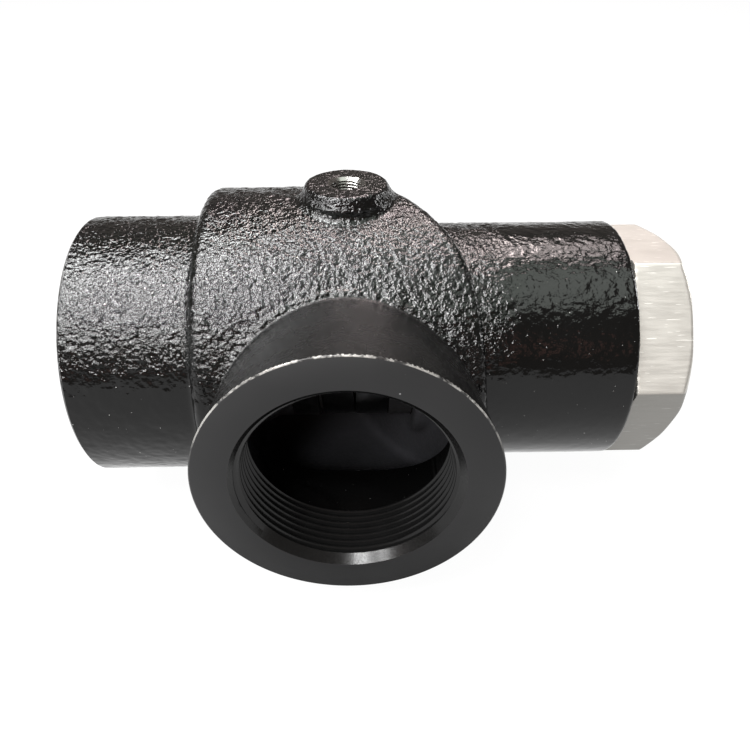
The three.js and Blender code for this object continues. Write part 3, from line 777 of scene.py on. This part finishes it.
def turned_pieces():
    """Round pieces that can be seen through the ports, with broken edges."""
    seat = [
        (-28, SEAT_HOLE_R), (-28, SEAT_SHANK_R), (-26.1, SEAT_SHANK_R), (-26.1, SEAT_GROOVE_R),
        (-23.1, SEAT_GROOVE_R), (-23.1, SEAT_SHANK_R), (-18.6, SEAT_SHANK_R), (-18.6, SEAT_RIM_R),
        (-10.5, SEAT_RIM_R), (-10.5, SEAT_HOLE_R + 0.8), (-11.3, SEAT_HOLE_R),
    ]
    poppet = [
        (10, 0), (10, SCREW_R), (-6.9, SCREW_R), (-6.9, SEAL_POCKET_R), (-9.1, SEAL_POCKET_R),
        (-9.1, POPPET_R), (1.2, POPPET_R), (1.2, HUB_R), (-4, HUB_R), (-4, STEM_R), (28.6, STEM_R),
        (28.6, STEM_GROOVE_R), (30.4, STEM_GROOVE_R), (30.4, STEM_R), (32.5, STEM_R), (32.5, 0),
    ]
    seal = [(-10.2, SEAL_HOLE_R), (-10.2, 23.5), (-7.2, 23.5), (-7.2, SEAL_HOLE_R)]
    washer = [(-12.3, SEAL_HOLE_R), (-12.3, 14), (-10.5, 14), (-10.5, SEAL_HOLE_R)]
    piston = [
        (1.5, HUB_R), (1.5, PISTON_R), (12, PISTON_R), (12, BAND_GROOVE_R), (20, BAND_GROOVE_R),
        (20, PISTON_R), (30, PISTON_R), (30, LIP_GROOVE_R), (35, LIP_GROOVE_R), (35, PISTON_R),
        (44, PISTON_R), (44, PISTON_BORE_R), (8.5, PISTON_BORE_R), (8.5, PISTON_HUB_R),
        (22.5, PISTON_HUB_R), (22.5, BUSH_R), (21.2, BUSH_R), (21.2, BUSH_GROOVE_R),
        (19.3, BUSH_GROOVE_R), (19.3, BUSH_R), (6.3, BUSH_R), (6.3, HUB_R),
    ]
    dress_turned("seat_ring_turned", hoop(soften(seat, 0.3)), "seat_ring", "housing", STEEL)
    dress_turned("check_poppet_turned", lathe(soften(poppet, 0.3), "run", 160), "check_poppet", "poppet",
                 ANODISED)
    dress_turned("poppet_seat_seal_moulded", hoop(soften(seal, 0.25)), "poppet_seat_seal", "poppet",
                 RUBBER)
    dress_turned("seal_clamp_washer_turned", hoop(soften(washer, 0.3)), "seal_clamp_washer", "poppet",
                 STEEL)
    dress_turned("piston_turned", hoop(soften(piston, 0.3)), "piston", "pressure_piston",
                 ANODISED)


def dress_turned(name, shape, node, body, material):
    piece = new_piece(name, *shape)
    smooth(piece, material)
    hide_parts(node)
    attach(piece, body)


def springs():
    """Each spring as a wound coil left where it is made; the long one is made in two lengths."""
    main = (2.1, 16, 8.8, 87.7, 8)
    check = (0.6, 8.4, -3.7, 6.1, 4)
    lengths = [
        ("main_spring_front", "main_spring", coil(*main, 0, 5), "pressure_piston", "poppet", 13, 46),
        ("main_spring_back", "main_spring", coil(*main, 5, 10), "poppet", "housing", 50, 83),
        ("check_spring_wound", "check_spring", coil(*check, 0, 6), "poppet", "pressure_piston", -2.4, 4.8),
    ]
    for name, node, shape, near_body, far_body, start, end in lengths:
        piece = new_piece(name, *shape)
        smooth(piece, WIRE, 60)
        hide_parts(node)
        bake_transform(piece)


def dress_frame():
    """Materials for the CAD pieces that are carried over."""
    looks = {
        STEEL: ["spring_seat_washer", "preload_shim_1", "preload_shim_2", "seal_clamp_screw"],
        WIRE: ["stem_circlip", "bush_circlip"],
        RUBBER: ["seat_ring_o_ring", "cap_o_ring", "piston_lip_seal"],
        BEARING: ["piston_guide_band", "stem_bush"],
    }
    for material, names in looks.items():
        for name in names:
            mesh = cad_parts[name].data
            mesh.materials.clear()
            mesh.materials.append(material)


# ------------------------------------------------------------------ stage, light and camera

def panel(name, place, aim, width, height, strength, colour=(1, 1, 1)):
    """A soft panel light; place and aim are millimetres from the datum."""
    data = bpy.data.lights.new(name, "AREA")
    data.shape = "RECTANGLE"
    data.size, data.size_y = width / 1000, height / 1000
    data.energy = strength * width * height / 1e6 * math.pi
    data.color = colour
    lamp = bpy.data.objects.new(name, data)
    bpy.context.scene.collection.objects.link(lamp)
    lamp.location = Vector(to_row(place))
    lamp.rotation_euler = (Vector(to_row(aim)) - lamp.location).to_track_quat("-Z", "Y").to_euler()


def stage_and_light():
    """A white floor that glows, small key panels with dark gaps between them, and low tinted fills."""
    corners = [(x * FLOOR_HALF, y * FLOOR_HALF, FLOOR_Z) for x, y in ((-1, -1), (1, -1), (1, 1), (-1, 1))]
    floor = new_piece("floor", corners, [[0, 1, 2, 3]])
    look = Look("pale_floor")
    tone = look.noise(8, 2)
    colour = look.blend(tone, (0.028, 0.028, 0.028), (0.030, 0.030, 0.030))
    floor.data.materials.append(look.finish(
        Base_Color=colour, Roughness=0.9, Specular_IOR_Level=0.0,
        Emission_Color=(1, 1, 1), Emission_Strength=0.96,
    ))
    for column, x in enumerate((-680, -240)):
        for row, y in enumerate((-1150, -520, 60)):
            panel(f"key_{column}_{row}", (x, y, LAMP_Z), (x, y, 0), 280, 330, 48)
    panel("fill", (260, -170, LAMP_Z), (260, -170, 0), 420, 720, 3.0, (0.92, 1.0, 0.93))
    panel("back", (80, 610, LAMP_Z), (80, 610, 0), 220, 480, 30.0, (1.0, 0.86, 0.84))
    panel("back_right", (340, 610, LAMP_Z), (340, 610, 0), 300, 480, 7.5, (1.0, 0.88, 0.87))
    panel("side_left", (-1000, -380, 520), (0, 0, 0), 260, 420, 26.0)
    panel("side_right", (1000, 270, 250), (0, 0, 0), 260, 320, 14.0)
    panel("shelf", (-250, -1300, 560), (-250, 0, 560), 1500, 170, 1.0, (1.0, 0.45, 0.36))
    world = bpy.data.worlds.new("room")
    bpy.context.scene.world = world
    world.use_nodes = True
    background = world.node_tree.nodes["Background"]
    background.inputs["Color"].default_value = (1.0, 0.90, 0.82, 1)
    background.inputs["Strength"].default_value = 0.22


def camera():
    """Where the camera stands, from the outlines' perspective."""
    elevation, azimuth, roll = math.radians(35.68), math.radians(-0.94), math.radians(0.21)
    forward = Vector((-math.sin(azimuth) * math.cos(elevation), math.cos(azimuth) * math.cos(elevation),
                      -math.sin(elevation)))
    right = forward.cross(Vector((0, 0, 1))).normalized()
    down = forward.cross(right)
    right, down = (
        right * math.cos(roll) + down * math.sin(roll),
        down * math.cos(roll) - right * math.sin(roll),
    )
    data = bpy.data.cameras.new("camera")
    data.sensor_width = 36
    data.lens = LENS
    data.clip_start, data.clip_end = 0.01, 20
    made = bpy.data.objects.new("camera", data)
    bpy.context.scene.collection.objects.link(made)
    turn = Matrix((right, -down, -forward)).transposed().to_4x4()
    made.matrix_world = Matrix.Translation(Vector(to_row(CAMERA_PLACE))) @ turn
    bpy.context.scene.camera = made


camera()
stage_and_light()
valve_body()
spring_cap()
dress_frame()
turned_pieces()
springs()

bpy.context.scene.view_settings.view_transform = "Standard"
